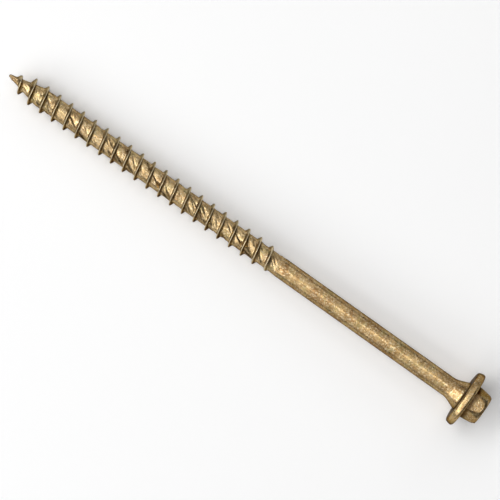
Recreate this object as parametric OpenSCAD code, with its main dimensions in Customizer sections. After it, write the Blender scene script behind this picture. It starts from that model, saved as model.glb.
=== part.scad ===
// Construction screw for timber: a coarse thread running to a gimlet point, a plain
// shank, a trumpet neck, a round bearing flange and a hexagon head, all one piece of
// steel. It lies on the ground plane along X, its point towards -X, resting on the
// rim of the flange and on one turn of the thread. Sizes are in millimetres and
// angles in degrees, with Z up.

/* [View] */
// Piece to draw, or all of them

/* [Length] */
// Length from the point to the underside of the flange
screw_length = 140; // [110:5:200]
// Length from the point to where the plain shank begins
threaded_length = 84; // [60:1:100]
// Length over which the core widens into the plain shank
shoulder_length = 2.2; // [1:0.1:4]

/* [Thread] */
// Diameter over the crests of the thread
thread_diameter = 7; // [6.6:0.1:8]
// Diameter of the core between the turns
core_diameter = 4.9; // [4.4:0.1:5.2]
// Distance from one turn to the next
thread_pitch = 3.65; // [3.2:0.05:4.6]
// Width of the ridge at its crest
crest_width = 0.16; // [0.1:0.02:0.4]
// Width of the ridge where it leaves the core
ridge_base_width = 0.86; // [0.6:0.02:1.4]
// Distance over which the ridge sinks away at the shank end
run_out_length = 6.9; // [3:0.1:10]
// Height of the first crest below the screw as it lies, measured from the point
first_crest = 5.3; // [4.2:0.1:5.6]

/* [Point] */
// Length of the tapered point
point_length = 9.4; // [8:0.1:14]
// Diameter of the blunt end of the point
point_diameter = 0.6; // [0.4:0.1:1.2]
// Distance from the point at which the crest reaches its full diameter
crest_rise_length = 7.7; // [6:0.1:9]

/* [Shank and neck] */
// Diameter of the plain shank
shank_diameter = 5.3; // [5.3:0.1:5.8]
// Diameter of the neck where it meets the flange
neck_diameter = 8; // [7.2:0.1:9]
// Length of the neck from the shank to the flange
neck_length = 4.4; // [4:0.1:6]
// Radius that blends the shank into the neck
neck_blend_radius = 5.4; // [3:0.1:6]

/* [Head] */
// Diameter of the bearing flange
flange_diameter = 15.3; // [13:0.1:18]
// Thickness of the flange
flange_thickness = 2.2; // [2:0.1:3]
// Radius of the rounded edges of the flange
flange_edge_radius = 0.9; // [0.4:0.1:0.9]
// Width of the hexagon across its flats
hex_across_flats = 8; // [7.6:0.1:10]
// Height of the hexagon above the flange
hex_height = 4.4; // [3.5:0.1:6]
// Turn of the hexagon about the screw's axis
hex_turn = 24; // [0:1:59]
// Slope of the turned surface that trims the hexagon's corners, from the axis
hex_trim_angle = 8.5; // [5:0.5:12]
// Diameter of that surface where the bevel round the end begins
hex_bevel_diameter = 8.35; // [8.1:0.05:8.7]
// Length of the bevel round the end, along the axis
hex_bevel_length = 0.7; // [0.3:0.1:1.2]
// Diameter of the flat left inside the bevel on the hexagon's end
hex_end_diameter = 7.5; // [6.6:0.1:7.8]

/* [Hidden] */
$fn = 96;
screw_colour = [0.72, 0.56, 0.27];

core_radius = core_diameter / 2;
crest_radius = thread_diameter / 2;
point_radius = point_diameter / 2;
shank_radius = shank_diameter / 2;
neck_radius = neck_diameter / 2;
flange_radius = flange_diameter / 2;
hex_end_radius = hex_end_diameter / 2;
hex_bevel_radius = hex_bevel_diameter / 2;
hex_corner_radius = hex_across_flats / 2 / cos(30);

// Heights along the screw's own axis, from the point
shoulder_start = threaded_length - shoulder_length;
neck_start = screw_length - neck_length;
flange_top = screw_length + flange_thickness;
head_end = flange_top + hex_height;

// The rolled surface runs on inside the shank, a hair below the shank's own surface
rolled_step = 0.03;
rolled_overlap = 0.6;
rolled_end = threaded_length + rolled_overlap;
run_out_end = threaded_length - ridge_base_width / 2;
shoulder_rise = shank_radius - rolled_step - core_radius;

// Neck outline: an arc that leaves the shank, then a straight cone to the flange
neck_rise = neck_radius - shank_radius;
neck_blend_limit = 0.9 * (neck_length ^ 2 + neck_rise ^ 2) / (2 * neck_rise);
neck_blend = min(neck_blend_radius, neck_blend_limit);
neck_reach = norm([neck_length, neck_blend - neck_rise]);
neck_angle = atan2(neck_length, neck_blend - neck_rise) - acos(neck_blend / neck_reach);
neck_arc_length = neck_blend * sin(neck_angle);
neck_arc_rise = neck_blend * (1 - cos(neck_angle));

// Thread surface: rows of points that climb with the thread
turn_steps = 36;
profile_steps = [
    -ridge_base_width / 2,
    -crest_width / 2,
    crest_width / 2,
    ridge_base_width / 2
];
row_kinds = len(profile_steps);
first_turn = first_crest - ceil(first_crest / thread_pitch + 1) * thread_pitch;
turns = ceil((rolled_end - first_turn + ridge_base_width) / thread_pitch);
rows = turns * row_kinds;

// Lean of the axis as the screw lies on its flange and on the thread near the point
rest_turn = first_crest + thread_pitch - crest_width / 2;
flange_middle = screw_length + flange_thickness / 2;
rim_centre_radius = flange_radius - flange_edge_radius;
flange_low_edge = screw_length + flange_edge_radius;
rest_span = flange_low_edge - rest_turn;
rest_drop = rim_centre_radius - crest_at(rest_turn);
lean = asin(flange_edge_radius / norm([rest_span, rest_drop])) + atan2(rest_drop, rest_span);
axis_height = crest_at(rest_turn) * cos(lean) - rest_turn * sin(lean);
half_run = (head_end * cos(lean) + (hex_end_radius - point_radius) * sin(lean)) / 2;

// Radius of the core at a height: a cone at the point, a short cone at the shank
function core_at(height) =
    let (
        cone = point_radius + (core_radius - point_radius) * height / point_length,
        shoulder = max(0, height - shoulder_start) / shoulder_length
    )
    min(core_radius, cone) + shoulder_rise * min(1, shoulder);

// Radius of the crest at a height: it swells from the point and sinks at the far end
function crest_at(height) =
    let (
        swell = crest_radius * sin(90 * min(1, height / crest_rise_length)),
        left = max(0, min(1, (run_out_end - height) / run_out_length)),
        fade = core_radius + (crest_radius - core_radius) * sin(90 * left)
    )
    max(core_at(height), min(swell, fade));

// One point of the thread surface, held between the two ends of the rolled length
function thread_point(step, row) =
    let (
        angle = 360 * step / turn_steps,
        kind = row % row_kinds,
        climb = thread_pitch * (floor(row / row_kinds) + step / turn_steps),
        height = min(max(first_turn + climb + profile_steps[kind], 0), rolled_end),
        on_crest = kind == 1 || kind == 2,
        radius = on_crest ? crest_at(height) : core_at(height)
    )
    [radius * cos(angle), radius * sin(angle), height];

// Place of a point in the list; a full turn leads to the row one pitch higher
function thread_index(step, row) =
    step < turn_steps ? row * turn_steps + step : (row + row_kinds) * turn_steps;

// Outline of half the turned surface that trims the hexagon's corners and its end
module hex_trim_outline() {
    bevel_start = head_end - hex_bevel_length;
    trim_rise = (bevel_start - flange_middle) * tan(hex_trim_angle);
    polygon([
        [0, flange_middle],
        [hex_bevel_radius + trim_rise, flange_middle],
        [hex_bevel_radius, bevel_start],
        [hex_end_radius, head_end],
        [0, head_end]
    ]);
}

// Hexagon with trimmed corners and a bevelled end, rising from inside the flange
module hexagon() {
    intersection() {
        translate([0, 0, flange_middle])
            rotate([0, 0, hex_turn])
                cylinder(h = head_end - flange_middle, r = hex_corner_radius, $fn = 6);
        rotate_extrude()
            hex_trim_outline();
    }
}

// Outline of half the flange: a flat disc with both edges rounded
module flange_outline() {
    translate([0, screw_length]) {
        square([rim_centre_radius, flange_thickness]);
        translate([0, flange_edge_radius])
            square([flange_radius, flange_thickness - 2 * flange_edge_radius]);
        for (height = [flange_edge_radius, flange_thickness - flange_edge_radius])
            translate([rim_centre_radius, height])
                circle(r = flange_edge_radius);
    }
}

// Outline of half the neck, hollowed by the arc that blends it into the shank, with
// its root inside the flange
module neck_outline() {
    root_end = flange_middle - neck_start;
    translate([0, neck_start])
        difference() {
            polygon([
                [0, 0],
                [shank_radius, 0],
                [shank_radius + neck_arc_rise, neck_arc_length],
                [neck_radius, neck_length],
                [neck_radius, root_end],
                [0, root_end]
            ]);
            translate([shank_radius + neck_blend, 0])
                circle(r = neck_blend);
        }
}

// Outline of half the plain shank, which runs on through the neck
module shank_outline() {
    translate([0, threaded_length])
        square([shank_radius, flange_middle - threaded_length]);
}

// Shank, neck and flange, turned about the screw's axis
module turned_body() {
    rotate_extrude() {
        shank_outline();
        neck_outline();
        flange_outline();
    }
}

// Threaded length with its point, as one closed surface
module threaded_body() {
    surface_points = [
        for (row = [0:rows + row_kinds])
            for (step = [0:turn_steps - 1])
                thread_point(step, row)
    ];
    patches = [
        for (row = [0:rows - 1])
            for (step = [0:turn_steps - 1])
                let (
                    near_low = thread_index(step, row),
                    far_low = thread_index(step + 1, row),
                    near_high = thread_index(step, row + 1),
                    far_high = thread_index(step + 1, row + 1)
                )
                each [[near_low, near_high, far_high], [near_low, far_high, far_low]]
    ];
    walls = [
        for (patch = patches)
            let (
                a = surface_points[patch[0]],
                b = surface_points[patch[1]],
                c = surface_points[patch[2]]
            )
            if (a != b && b != c && c != a) patch
    ];
    point_end = [for (step = [0:turn_steps - 1]) step];
    shank_end = [for (step = [turn_steps - 1:-1:0]) rows * turn_steps + step];
    polyhedron(points = surface_points, faces = concat([point_end], walls, [shank_end]));
}

// The whole screw, laid down along X
module screw() {
    color(screw_colour)
        translate([-half_run, 0, axis_height])
            rotate([0, 90 - lean, 0]) {
                threaded_body();
                turned_body();
                hexagon();
            }
}

screw();
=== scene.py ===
# Construction screw for timber, lying on a pale floor as it comes to rest: on the rim
# of its flange and on one turn of its thread near the point. Lengths are millimetres,
# and heights run along the screw from its point, until its mesh is laid down in metres.
import math

import bmesh
import bpy
from mathutils import Matrix, Vector, noise


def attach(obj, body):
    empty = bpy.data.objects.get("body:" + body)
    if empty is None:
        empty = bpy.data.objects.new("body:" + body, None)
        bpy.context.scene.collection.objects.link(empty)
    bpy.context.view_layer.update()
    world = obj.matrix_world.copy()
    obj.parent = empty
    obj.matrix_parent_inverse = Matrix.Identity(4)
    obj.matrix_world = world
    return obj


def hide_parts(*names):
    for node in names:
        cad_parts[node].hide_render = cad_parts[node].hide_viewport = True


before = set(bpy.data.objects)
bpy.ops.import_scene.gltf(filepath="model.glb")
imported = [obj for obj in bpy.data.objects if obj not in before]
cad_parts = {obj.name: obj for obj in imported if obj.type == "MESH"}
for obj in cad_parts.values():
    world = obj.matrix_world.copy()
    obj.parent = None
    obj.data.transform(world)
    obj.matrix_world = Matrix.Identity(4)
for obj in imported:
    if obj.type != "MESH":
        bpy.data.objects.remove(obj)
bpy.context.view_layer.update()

# Threaded length with its gimlet point, of one piece of steel with all the rest. The
# blank is rolled between two dies, which raise the coarse ridge and leave two steep
# creases winding along the core.
threaded_length = 84.0
thread_pitch = 3.65
crest_radius = 3.5
core_radius = 2.45
shank_radius = 2.65
first_crest = 5.3
point_length = 9.4
point_radius = 0.3
crest_rise_length = 7.7
run_out_length = 6.9
run_out_end = 83.57
shoulder_length = 2.2
steps_round_thread = 120
turns_below_first_crest = 3
spare_turns = 4
weld_distance = 0.001
cut_tolerance = 0.0005

# Height of the ridge at distances from its crest line, from 1 on the crest to 0 on
# the core, with a small fillet at its foot
ridge_outline = [(0.06, 1.0), (0.12, 0.92), (0.23, 0.55), (0.36, 0.17), (0.54, 0.0)]
ridge_foot = ridge_outline[-1][0]
rows_between_ridges = 9

# The ridge is fuller than that outline near the point, and again near the shank
point_fullness = 0.4
point_fullness_reach = 20.0
shank_fullness = 0.5
shank_fullness_start = 68.0
shank_fullness_reach = 12.0

# Each crease winds once round the core over its lead, and its start is a height at which
# it crosses the side that faces +Y. It fades out at the two ends of its length.
crease_lead = 25.6
crease_starts = [26.0, 38.5]
crease_first = 7.0
crease_last = 80.0
crease_fade = 4.0
crease_depth = 0.34
crease_slope_width = 0.95
crease_wall_width = 0.16
crease_lip = 0.06
# Shade is painted into each crease and over the core just past its steep wall
crease_shade_width = 1.3
crease_shade_strength = 0.45

# The core is left uneven by the rolling: shallow folds run along with the creases,
# and a finer unevenness crosses them
fold_lead = 17.0
fold_width = 0.9
fold_stretch = 4.0
fold_depth = 0.75
fold_swell = 0.5
fold_level = 0.35
fold_fade = 2.0
highest_fold = 0.04
second_noise = Vector((7, 3, 5))
dent_width = 0.8
dent_depth = 0.16
dent_level = 0.25
dent_squeeze = 1.5
nick_width = 0.9
nick_depth = 0.16
nick_level = 0.1

# Where a highlight is painted pale, just on the point's side of the crest, and where shade
# is painted with some dirt: behind the crest and in the deeper folds; dirt alone stays at the point
# itself
lowest_ridge = 0.1
ridge_rise = 0.4
highlight_offset = 0.14
highlight_level = 1.4
highlight_fade = 0.2
shadow_and_dirt_offset = 0.3
shadow_and_dirt_reach = 0.25
grime_and_shade_strength = 0.5
grime_and_shade_start = 0.08
grime_and_shade_rise = 0.16
point_dirt = 0.8
point_dirt_reach = 6.0


def limited(value):
    """A value held between 0 and 1."""
    return min(1, max(0, value))


def core_at(height):
    """Radius of the core: a cone at the point, and a short cone up to the shank."""
    cone = point_radius + (core_radius - point_radius) * max(height, 0) / point_length
    shoulder = (height - threaded_length + shoulder_length) / shoulder_length
    return min(core_radius, cone) + (shank_radius - core_radius) * limited(shoulder)


def crest_at(height):
    """Radius of the crest: it swells from the point and sinks away at the shank."""
    swell = crest_radius * math.sin(math.pi / 2 * limited(height / crest_rise_length))
    left = limited((run_out_end - height) / run_out_length)
    fade = core_radius + (crest_radius - core_radius) * math.sin(math.pi / 2 * left)
    return max(core_at(height), min(swell, fade))


def ridge_share(distance):
    """Height of the ridge at a distance from its crest line, read from its outline."""
    last_place, last_share = 0.0, 1.0
    for place, share in ridge_outline:
        if distance <= place:
            along = (distance - last_place) / (place - last_place)
            return last_share + (share - last_share) * along
        last_place, last_share = place, share
    return 0.0


def crease_at(angle, height):
    """Depth of the nearer crease and the shade painted in and beside it, both from its lap:
    the core slopes gently down to it, and a steep wall with a small lip brings it back."""
    across = math.inf
    slope = math.atan(2 * math.pi * core_radius / crease_lead)
    for start in crease_starts:
        turn = angle - math.pi / 2 - 2 * math.pi * (height - start) / crease_lead
        turn = (turn + math.pi) % (2 * math.pi) - math.pi
        from_line = turn * core_radius * math.cos(slope)
        across = from_line if abs(from_line) < abs(across) else across
    ends = limited((height - crease_first) / crease_fade)
    ends *= limited((crease_last - height) / crease_fade)
    if across < 0:
        depth = crease_depth * max(0.0, 1 + across / crease_slope_width)
        return ends * depth, ends * max(0.0, 1 + across / crease_wall_width)
    depth = crease_depth * max(0.0, 1 - across / crease_wall_width)
    lip = crease_lip * max(0.0, 1 - abs(across / crease_wall_width - 2))
    # Past the wall the painted shade fades over the core
    crease_shade = crease_shade_strength * max(0.0, 1 - across / crease_shade_width)
    if across < crease_wall_width:
        crease_shade = 1.0
    return ends * (depth - lip), ends * crease_shade


def folds_at(angle, height):
    """How far the rolling has left the core above or below its true surface."""
    turned = angle - 2 * math.pi * height / fold_lead
    around = Vector((math.cos(turned), math.sin(turned), 0)) * core_radius
    along = Vector((0, 0, height / fold_stretch))
    fold = noise.noise((around + along) / fold_width)
    folded = abs(noise.noise((around + along) / fold_width + second_noise))
    dent = dent_level - abs(noise.noise((around + dent_squeeze * along) / dent_width))
    ends = limited((threaded_length - 1 - height) / fold_fade) * min(1, height / fold_fade)
    return ends * (fold_depth * (fold_swell * fold + fold_level - folded) + dent_depth * dent)


# The steel is spun from one column of points, drawn along the screw as the spin goes
# round. Three layers are kept for the colour: the highlight painted on the crest, the shade
# and dirt painted in the hollows, and the threaded length, which is painted paler.
steel = bmesh.new()
ridge_height = steel.verts.layers.float.new("ridge")
dirt_and_shade = steel.verts.layers.float.new("dirt_and_shade")
rolled = steel.verts.layers.float.new("rolled")

ridge_rows = [-place for place, share in reversed(ridge_outline)]
ridge_rows += [place for place, share in ridge_outline]
gap = thread_pitch - 2 * ridge_foot
core_rows = [
    ridge_foot + gap * (row + 1) / (rows_between_ridges + 1)
    for row in range(rows_between_ridges)
]
turns = math.ceil(threaded_length / thread_pitch) + spare_turns
column = []
for turn in range(turns):
    for row in ridge_rows + core_rows:
        height = first_crest + thread_pitch * (turn - turns_below_first_crest) + row
        column.append(steel.verts.new((core_radius, 0, height)))
edges = [steel.edges.new(pair) for pair in zip(column, column[1:])]
bmesh.ops.spin(
    steel,
    geom=column + edges,
    cent=(0, 0, 0),
    axis=(0, 0, 1),
    dvec=(0, 0, thread_pitch / steps_round_thread),
    angle=2 * math.pi,
    steps=steps_round_thread,
    use_duplicate=False,
)
bmesh.ops.remove_doubles(steel, verts=steel.verts, dist=weld_distance)

for vert in steel.verts:
    angle = math.atan2(vert.co.y, vert.co.x)
    height = vert.co.z
    from_crest = height - first_crest - thread_pitch * angle / (2 * math.pi)
    from_crest = (from_crest + thread_pitch / 2) % thread_pitch - thread_pitch / 2
    fullness = point_fullness * max(0, 1 - height / point_fullness_reach)
    fullness += shank_fullness * limited((height - shank_fullness_start) / shank_fullness_reach)
    share = ridge_share(abs(from_crest) / (1 + fullness))
    core = core_at(height)
    crease, crease_shade = crease_at(angle, height)
    crease *= 1 - share
    uneven = min(highest_fold, folds_at(angle, height)) * (1 - share)
    nick = max(0, noise.noise(vert.co / nick_width) - nick_level) * nick_depth * share
    radius = core + (crest_at(height) - core) * share - crease + uneven - nick
    vert.co.x = radius * math.cos(angle)
    vert.co.y = radius * math.sin(angle)
    standing = limited((crest_at(height) - core - lowest_ridge) / ridge_rise)
    # A highlight is painted pale on the point's side of each standing crest
    painted_highlight = limited(highlight_level - abs(from_crest + highlight_offset) / highlight_fade)
    vert[ridge_height] = painted_highlight * standing
    # Shadow is painted behind the crest, with some dirt
    shadow_and_dirt = max(0, 1 - abs(from_crest - shadow_and_dirt_offset) / shadow_and_dirt_reach) * standing
    # Shade is painted with some grime into the deeper folds
    grime_and_shade = grime_and_shade_strength * limited((-uneven - grime_and_shade_start) / grime_and_shade_rise)
    weathered = point_dirt * max(0, 1 - height / point_dirt_reach)
    vert[dirt_and_shade] = max(shadow_and_dirt, crease_shade * (1 - share), grime_and_shade, weathered)
    # Marks the threaded length, which the shader paints paler
    vert[rolled] = limited(threaded_length - height)


def cut_across(height, keep_above):
    """Cuts the steel square across and returns the edges of the cut."""
    cut = bmesh.ops.bisect_plane(
        steel,
        geom=steel.verts[:] + steel.edges[:] + steel.faces[:],
        dist=cut_tolerance,
        plane_co=(0, 0, height),
        plane_no=(0, 0, 1),
        clear_inner=keep_above,
        clear_outer=not keep_above,
    )
    return [item for item in cut["geom_cut"] if isinstance(item, bmesh.types.BMEdge)]


def drawn_on(edges, height, radius):
    """Draws a ring of edges on to another height and radius and returns its new ring."""
    made = bmesh.ops.extrude_edge_only(steel, edges=edges)["geom"]
    for vert in [item for item in made if isinstance(item, bmesh.types.BMVert)]:
        vert.co = vert.co.xy.normalized().to_3d() * radius
        vert.co.z = height
    return [item for item in made if isinstance(item, bmesh.types.BMEdge)]


# The blunt tip is cut, rounded off by rings of a height and a radius, and closed at its
# middle
tip_cut = 0.2
tip_rings = [(0.1, 0.31), (0.03, 0.22), (0.005, 0.1), (0, 0.05)]
tip_ring = cut_across(tip_cut, keep_above=True)
for height, radius in tip_rings:
    tip_ring = drawn_on(tip_ring, height, radius)
tip = list({vert for edge in tip_ring for vert in edge.verts})
bmesh.ops.pointmerge(steel, verts=tip, merge_co=(0, 0, 0))
thread_end = cut_across(threaded_length, keep_above=False)

# Shank, trumpet neck, bearing flange and hexagon, headed in one blow from the same
# blank: every edge of the flange and the hexagon is soft, and a turned surface trims
# the hexagon's corners towards its end
screw_length = 140.0
neck_length = 4.4
neck_blend_radius = 5.4
neck_angle = math.radians(21.92)
neck_radius = 4.0
flange_radius = 7.64
flange_thickness = 2.2
flange_near_edge = 0.8
flange_far_edge = 0.7
flange_draft = 13.0
flange_top = screw_length + flange_thickness
hexagon_half_width = 4.0
hexagon_turn = math.radians(24)
hexagon_fillet = 0.25
hexagon_foot_radius = 5.0
hexagon_foot_step = 0.05
hexagon_wall_radius = 4.9
head_end = 146.6
bevel_start = 145.9
bevel_lead = 0.2
bevel_radius = 4.175
end_radius = 3.75
end_rings = [3.6, 2.4, 1.2, 0.0]
end_softening = [(hexagon_wall_radius, 0.08), (3.7, 0.02)]
trim_slope = math.tan(math.radians(8.5))
corner_sharpness = 90
bevel_softness = 0.12
corner_crowding = 1.6
steps_round_head = 180
fine_weld_distance = 0.0005
rim_margin = 0.01
hair = 0.0001

# Small fillet between the neck and the flange, as steps out and up from their corner
neck_fillet = [(-0.06, -0.15), (0.05, -0.03), (0.25, 0.0)]

# Shade is painted into the corner between the neck and the flange, and the flange's
# shadow is painted with some dirt round the foot of the hexagon, where it reaches up unevenly
neck_shade_offset = 0.15
neck_shade_width = 0.5
neck_shade_height = 0.3
foot_shadow_and_dirt_strength = 1.3
foot_shadow_and_dirt_height = 0.7
foot_shadow_and_dirt_reach = 1.0
foot_shadow_and_dirt_drift = 0.9
foot_shadow_and_dirt_patch = 2.2


def arc(centre, radius, start, end, steps):
    """Points on an arc, as (radius from the axis, height), with angles in degrees."""
    points = []
    for step in range(steps + 1):
        angle = math.radians(start + (end - start) * step / steps)
        points.append((centre[0] + radius * math.cos(angle), centre[1] + radius * math.sin(angle)))
    return points


def spread(start, end, steps):
    """Points from start to end, without start itself."""
    return [
        tuple(a + (b - a) * (step + 1) / steps for a, b in zip(start, end))
        for step in range(steps)
    ]


neck_start = screw_length - neck_length
neck_centre = (shank_radius + neck_blend_radius, neck_start)
neck_arc = arc(neck_centre, neck_blend_radius, 180, 180 - math.degrees(neck_angle), 8)
edge_middle = flange_radius - flange_far_edge
far_middle = (edge_middle, flange_top - flange_far_edge)
near_middle_height = screw_length + flange_near_edge
rim_width = far_middle[1] - near_middle_height
tapered = math.radians(flange_draft)
near_middle_radius = edge_middle + (flange_far_edge - flange_near_edge) / math.cos(tapered)
near_middle_radius -= rim_width * math.tan(tapered)
near_middle = (near_middle_radius, near_middle_height)
underside_end = (near_middle_radius - 0.1, screw_length)
fillet = [(neck_radius + out, screw_length + up) for out, up in neck_fillet]
fillet_steps = 4
wall_start = (hexagon_wall_radius, flange_top + hexagon_fillet)
wall_end = (hexagon_wall_radius, bevel_start - bevel_lead)
softened = [(radius, head_end - drop) for radius, drop in end_softening]

outline = spread((shank_radius, threaded_length), (shank_radius, neck_start), 26)[:-1]
outline += neck_arc
outline += spread(neck_arc[-1], fillet[0], 6)
outline += fillet[1:]
outline += spread(fillet[-1], underside_end, 4)
outline += arc(near_middle, flange_near_edge, -90, -flange_draft, 9)
outline += arc(far_middle, flange_far_edge, -flange_draft, 90, 12)
outline += spread((edge_middle, flange_top), (hexagon_foot_radius, flange_top), 6)
for step in range(fillet_steps):
    sink = 1 - math.cos(math.radians(90 * (step + 1) / fillet_steps))
    outline.append((hexagon_wall_radius, flange_top + hexagon_fillet * sink))
outline += spread(wall_start, wall_end, 20)
outline += spread(wall_end, softened[0], 8)
outline.append(softened[1])
outline += [(radius, head_end) for radius in end_rings]

# The head is spun round from half its outline, and its hexagon is then drawn in from
# the round wall
head = bmesh.new()
# Painted shade and dirt on the head, in the same layer as the thread's
head_shade_and_dirt = head.verts.layers.float.new("dirt_and_shade")
column = [head.verts.new((radius, 0, height)) for radius, height in outline]
edges = [head.edges.new(pair) for pair in zip(column, column[1:])]
bmesh.ops.rotate(
    head, verts=column, cent=(0, 0, 0), matrix=Matrix.Rotation(hexagon_turn, 3, "Z")
)
bmesh.ops.spin(
    head,
    geom=column + edges,
    cent=(0, 0, 0),
    axis=(0, 0, 1),
    angle=2 * math.pi,
    steps=steps_round_head,
    use_merge=True,
    use_duplicate=False,
)
bmesh.ops.remove_doubles(head, verts=head.verts, dist=fine_weld_distance)


def soft_minimum(a, b, softness):
    """The smaller of two radii, rounded off where they are nearly the same."""
    closeness = max(0.0, softness - abs(a - b)) / softness
    return min(a, b) - closeness**2 * softness / 4


def hexagon_radius(angle, height):
    """Radius of the trimmed hexagon at an angle and height."""
    faces = [math.cos(angle - hexagon_turn - math.radians(30 + 60 * face)) for face in range(6)]
    total = sum(max(0.0, face) ** corner_sharpness for face in faces)
    flats = hexagon_half_width / total ** (1 / corner_sharpness)
    turned = bevel_radius + (bevel_start - height) * trim_slope
    bevel_slope = (bevel_radius - end_radius) / (head_end - bevel_start)
    bevel = end_radius + (head_end - height) * bevel_slope
    return soft_minimum(flats, soft_minimum(turned, bevel, bevel_softness), bevel_softness)


for vert in head.verts:
    radius = vert.co.xy.length
    # Shade painted into the corner between the neck and the flange
    neck_corner_shade = max(0, 1 - abs(radius - neck_radius - neck_shade_offset) / neck_shade_width)
    vert[head_shade_and_dirt] = neck_corner_shade if abs(vert.co.z - screw_length) < neck_shade_height else 0
    on_flange_or_shank = vert.co.z < flange_top - hair or radius > edge_middle - rim_margin
    if on_flange_or_shank or radius < end_radius:
        continue
    angle = math.atan2(vert.co.y, vert.co.x)
    inward = min(1, (edge_middle - radius) / (edge_middle - hexagon_foot_radius))
    sector = (math.degrees(angle - hexagon_turn) % 60) / 30 - 1
    crowded = math.copysign(1 - (1 - abs(sector)) ** corner_crowding, sector)
    angle += inward * math.radians(30 * (crowded - sector))
    rise = min(hexagon_fillet, vert.co.z - flange_top)
    under_fillet = math.sqrt(max(0.0, hexagon_fillet**2 - (hexagon_fillet - rise) ** 2))
    trimmed = hexagon_radius(angle, vert.co.z) + (hexagon_fillet - under_fillet)
    # The flange's shadow is painted round the hexagon's foot, with some dirt, reaching up unevenly
    foot_shadow_and_dirt_extent = foot_shadow_and_dirt_reach + foot_shadow_and_dirt_drift * noise.noise(vert.co / foot_shadow_and_dirt_patch)
    above_foot_shadow_and_dirt = max(0, vert.co.z - flange_top - foot_shadow_and_dirt_height)
    vert[head_shade_and_dirt] = max(0, foot_shadow_and_dirt_strength - above_foot_shadow_and_dirt / foot_shadow_and_dirt_extent) * inward
    if vert.co.z > flange_top + hair:
        radius = trimmed
    else:
        radius += inward * (trimmed + hexagon_foot_step - hexagon_foot_radius)
    vert.co.x = radius * math.cos(angle)
    vert.co.y = radius * math.sin(angle)

# The head's end of the shank is joined to the threaded end
for edge in thread_end:
    for vert in edge.verts:
        vert.co.xy = vert.co.xy.normalized() * shank_radius
screw_mesh = bpy.data.meshes.new("screw_steel")
head.to_mesh(screw_mesh)
head.free()
steel.from_mesh(screw_mesh)
past_thread = threaded_length + 0.5
shank_start = [
    edge for edge in steel.edges if edge.is_boundary and edge.verts[0].co.z > past_thread
]
bmesh.ops.bridge_loops(steel, edges=thread_end + shank_start)
bmesh.ops.recalc_face_normals(steel, faces=steel.faces)

# The screw is laid down on its flange and its thread, and turned from millimetres to
# metres
lean = math.radians(1.8005)
axis_height = 3.2196
half_run = 73.318
laid_down = Matrix(
    (
        (math.sin(lean), 0, math.cos(lean), -half_run),
        (0, 1, 0, 0),
        (-math.cos(lean), 0, math.sin(lean), axis_height),
        (0, 0, 0, 1),
    )
)
bmesh.ops.transform(steel, matrix=Matrix.Scale(0.001, 4) @ laid_down, verts=steel.verts)
for face in steel.faces:
    face.smooth = True
steel.to_mesh(screw_mesh)
steel.free()
screw = bpy.data.objects.new("screw_steel", screw_mesh)
bpy.context.scene.collection.objects.link(screw)


def colour(hexadecimal):
    """An sRGB colour such as "a88b5c" as the linear values that a shader takes."""
    values = [int(hexadecimal[place : place + 2], 16) / 255 for place in (0, 2, 4)]
    linear = [v / 12.92 if v <= 0.04045 else ((v + 0.055) / 1.055) ** 2.4 for v in values]
    return (*linear, 1.0)


def add_node(tree, kind, settings=None, inputs=None, links=None):
    """Adds one node, with its settings, its input values and what feeds its inputs."""
    node = tree.nodes.new(kind)
    for name, value in (settings or {}).items():
        setattr(node, name, value)
    for name, value in (inputs or {}).items():
        node.inputs[name].default_value = value
    for name, source in (links or {}).items():
        tree.links.new(source, node.inputs[name])
    return node


# Yellow passivated zinc: bright zinc plated on steel, then dipped in a bath that leaves
# a thin golden film. It gives a satin gold that drifts from pale gold to brown over some
# 4 mm, with olive and red-brown patches half as wide. The threaded length is painted paler, a
# highlight is painted on the point's side of each crest, and shade with some dirt in the hollows.
passivated = bpy.data.materials.new("yellow_passivated_zinc")
passivated.use_nodes = True
tree = passivated.node_tree
tree.nodes.clear()
place = add_node(tree, "ShaderNodeTexCoord").outputs["Object"]


def patches(size, detail, low, high, seed):
    """Patches of a size in millimetres, as a share from 0 to 1 between two noise levels."""
    moved = add_node(
        tree, "ShaderNodeMapping", inputs={"Location": (seed, seed, seed)}, links={"Vector": place}
    )
    grain = add_node(
        tree,
        "ShaderNodeTexNoise",
        inputs={"Scale": 1000 / size, "Detail": detail, "Roughness": 0.6},
        links={"Vector": moved.outputs["Vector"]},
    )
    share = add_node(
        tree,
        "ShaderNodeMapRange",
        settings={"interpolation_type": "SMOOTHSTEP"},
        inputs={"From Min": low, "From Max": high},
        links={"Value": grain.outputs["Fac"]},
    )
    return share.outputs["Result"]


def tinted(below, tint, share, strength):
    """Another tint laid over a colour where share is high."""
    weight = add_node(
        tree,
        "ShaderNodeMath",
        settings={"operation": "MULTIPLY"},
        inputs={1: strength},
        links={0: share},
    )
    mix = add_node(
        tree,
        "ShaderNodeMix",
        settings={"data_type": "RGBA"},
        inputs={"B": colour(tint)},
        links={"Factor": weight.outputs["Value"], "A": below},
    )
    return mix.outputs["Result"]


base = add_node(
    tree,
    "ShaderNodeMix",
    settings={"data_type": "RGBA"},
    inputs={"A": colour("9a7b50"), "B": colour("bc9e6e")},
    links={"Factor": patches(4.0, 4, 0.38, 0.62, 0.0)},
)
film = base.outputs["Result"]
# The threaded length is painted paler, a painted highlight for the light its uneven core catches
along_thread = add_node(tree, "ShaderNodeAttribute", settings={"attribute_name": "rolled"})
film = tinted(film, "d2b88a", along_thread.outputs["Fac"], 0.4)

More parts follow.
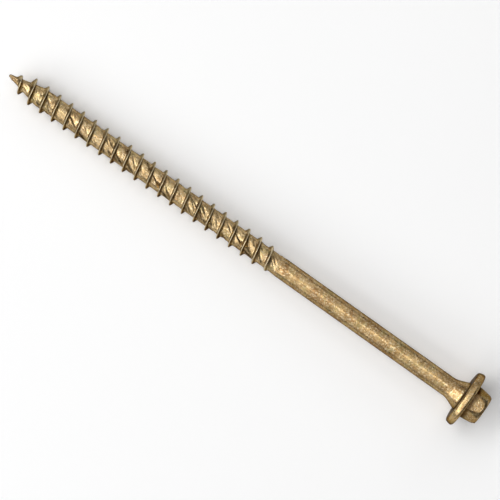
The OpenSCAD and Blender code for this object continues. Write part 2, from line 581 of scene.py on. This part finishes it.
# Olive and red-brown patches, then pale and dark specks: the tint, its size, detail, two
# noise levels and shift, and its strength. The real specks are too fine for the render,
# and are drawn 0.45 mm wide so that they show.
for tint, size, detail, low, high, seed, strength in [
    ("9a8f5f", 2.6, 4, 0.48, 0.66, 0.013, 0.5),
    ("8d6844", 2.4, 5, 0.48, 0.66, 0.071, 0.5),
    ("f6e8c6", 0.45, 3, 0.48, 0.66, 0.037, 0.4),
    ("4e3c28", 0.45, 4, 0.5, 0.66, 0.041, 0.42),
]:
    film = tinted(film, tint, patches(size, detail, low, high, seed), strength)
# The painted highlight on the point's side of each crest
ridge = add_node(tree, "ShaderNodeAttribute", settings={"attribute_name": "ridge"})
ridge_top = add_node(
    tree,
    "ShaderNodeMapRange",
    settings={"interpolation_type": "SMOOTHSTEP"},
    inputs={"From Min": 0.1, "From Max": 0.6},
    links={"Value": ridge.outputs["Fac"]},
)
film = tinted(film, "e4d5b2", ridge_top.outputs["Result"], 0.75)
# Painted shade with some dirt: in creases and folds, behind crests, in the neck's corner and round the
# hexagon's foot; dirt alone at the point
crease = add_node(tree, "ShaderNodeAttribute", settings={"attribute_name": "dirt_and_shade"})
film = tinted(film, "402d1b", crease.outputs["Fac"], 0.68)
dullness = add_node(
    tree,
    "ShaderNodeMapRange",
    inputs={"To Min": 0.25, "To Max": 0.38},
    links={"Value": patches(0.8, 4, 0.3, 0.7, 0.057)},
)

# The plating's pits are too fine for the render as well, and are drawn 0.6 mm wide and
# 0.08 mm deep. The dark edge tint keeps the steel from whitening where it turns away.
pitting_size = 0.6
pitting_depth = 0.08
pitting = add_node(
    tree,
    "ShaderNodeTexNoise",
    inputs={"Scale": 1000 / pitting_size, "Detail": 2.0, "Roughness": 0.6},
    links={"Vector": place},
)
bump = add_node(
    tree,
    "ShaderNodeBump",
    inputs={"Strength": 0.65, "Distance": pitting_depth / 1000},
    links={"Height": pitting.outputs["Fac"]},
)
surface = add_node(
    tree,
    "ShaderNodeBsdfPrincipled",
    inputs={"Metallic": 1.0, "Specular Tint": colour("484644")},
    links={
        "Base Color": film,
        "Roughness": dullness.outputs["Result"],
        "Normal": bump.outputs["Normal"],
    },
)
add_node(tree, "ShaderNodeOutputMaterial", links={"Surface": surface.outputs["BSDF"]})
screw_mesh.materials.append(passivated)

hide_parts("screw")
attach(screw, "root")

# Matt white paper under the screw, wide enough to fill the view. It is no part of the
# screw, and is there to take its shadow. It is measured in metres.
paper_half_width = 2.0
floor_mesh = bpy.data.meshes.new("floor")
paper = bmesh.new()
bmesh.ops.create_grid(paper, x_segments=1, y_segments=1, size=paper_half_width)
paper.to_mesh(floor_mesh)
paper.free()
floor = bpy.data.objects.new("floor", floor_mesh)
bpy.context.scene.collection.objects.link(floor)
white_paper = bpy.data.materials.new("matt_white_paper")
white_paper.use_nodes = True
sheet = white_paper.node_tree.nodes["Principled BSDF"]
sheet.inputs["Base Color"].default_value = colour("fcfcfc")
sheet.inputs["Roughness"].default_value = 0.9
sheet.inputs["Specular IOR Level"].default_value = 0.0
floor_mesh.materials.append(white_paper)

# Two arches of five softboxes span the screw in an evenly lit pale room: one stands
# upright over the shank, and one leans to the point, where the neck and the flange face.
# Each lamp is given by its angle across the screw and its level, and all are 1.5 m away.
room = bpy.data.worlds.new("pale_room")
bpy.context.scene.world = room
room.use_nodes = True
room.node_tree.nodes["Background"].inputs["Color"].default_value = (1, 1, 1, 1)
room_level = 0.11
room.node_tree.nodes["Background"].inputs["Strength"].default_value = room_level
lamp_reach = 1.5
upright_arch = [(-60, 0.03), (-30, 0.07), (0, 0.15), (30, 0.06), (60, 0.03)]
leaning_arch = [(-52, 0.11), (-26, 0.18), (0, 0.21), (26, 0.07), (52, 0.02)]
leaning_arch_angle = 37


def softbox(name, width, length, lean, across, level):
    """A lamp aimed at the screw from above, leaning to its point and across it, in
    degrees, that adds its level to the light on the floor."""
    lamp = bpy.data.lights.new(name, "AREA")
    lamp.shape = "RECTANGLE"
    lamp.size = width
    lamp.size_y = length
    leaning, turned = math.radians(lean), math.radians(across)
    towards = Vector(
        (-math.sin(leaning) * math.cos(turned), math.sin(turned), math.cos(leaning) * math.cos(turned))
    )
    lamp.energy = level * math.pi**2 * lamp_reach**2 / towards.z
    holder = bpy.data.objects.new(name, lamp)
    holder.location = towards * lamp_reach
    holder.rotation_euler = towards.to_track_quat("Z", "Y").to_euler()
    bpy.context.scene.collection.objects.link(holder)


for across, level in upright_arch:
    softbox("upright_softbox", 0.5, 0.55, 0, across, level)
for across, level in leaning_arch:
    softbox("leaning_softbox", 0.65, 0.65, leaning_arch_angle, across, level)

# The camera looks down on the lying screw through a long lens, its point at the upper
# left. The numbers are the photograph's own frame: where the screw's axis crosses its
# middle, the turn of the axis in it, and the size of one of its pixels.
pixel = 0.2524
frame_pixels = 500
camera_reach = 1200.0
middle_height = 75.0
middle_side = -0.88
screw_direction = (0.8156, -0.5785)
look_tilt = math.radians(1.0)

along = laid_down.to_3x3() @ Vector((0, 0, 1))
above = laid_down.to_3x3() @ Vector((-1, 0, 0))
sideways = Vector((0, 1, 0))
back = above * math.cos(look_tilt) - along * math.sin(look_tilt)
downrange = along * math.cos(look_tilt) + above * math.sin(look_tilt)
right = downrange * screw_direction[0] - sideways * screw_direction[1]
up = downrange * screw_direction[1] + sideways * screw_direction[0]
target = laid_down @ Vector((0, middle_side, middle_height))
lens = bpy.data.cameras.new("camera")
lens.sensor_width = 36.0
lens.lens = 36.0 * camera_reach / (frame_pixels * pixel)
lens.clip_start = 0.05
lens.clip_end = 20.0
camera = bpy.data.objects.new("camera", lens)
turned = Matrix((right, up, back)).transposed().to_4x4()
camera.matrix_world = Matrix.Translation((target + back * camera_reach) * 0.001) @ turned
bpy.context.scene.collection.objects.link(camera)
bpy.context.scene.camera = camera
bpy.context.scene.view_settings.view_transform = "Standard"
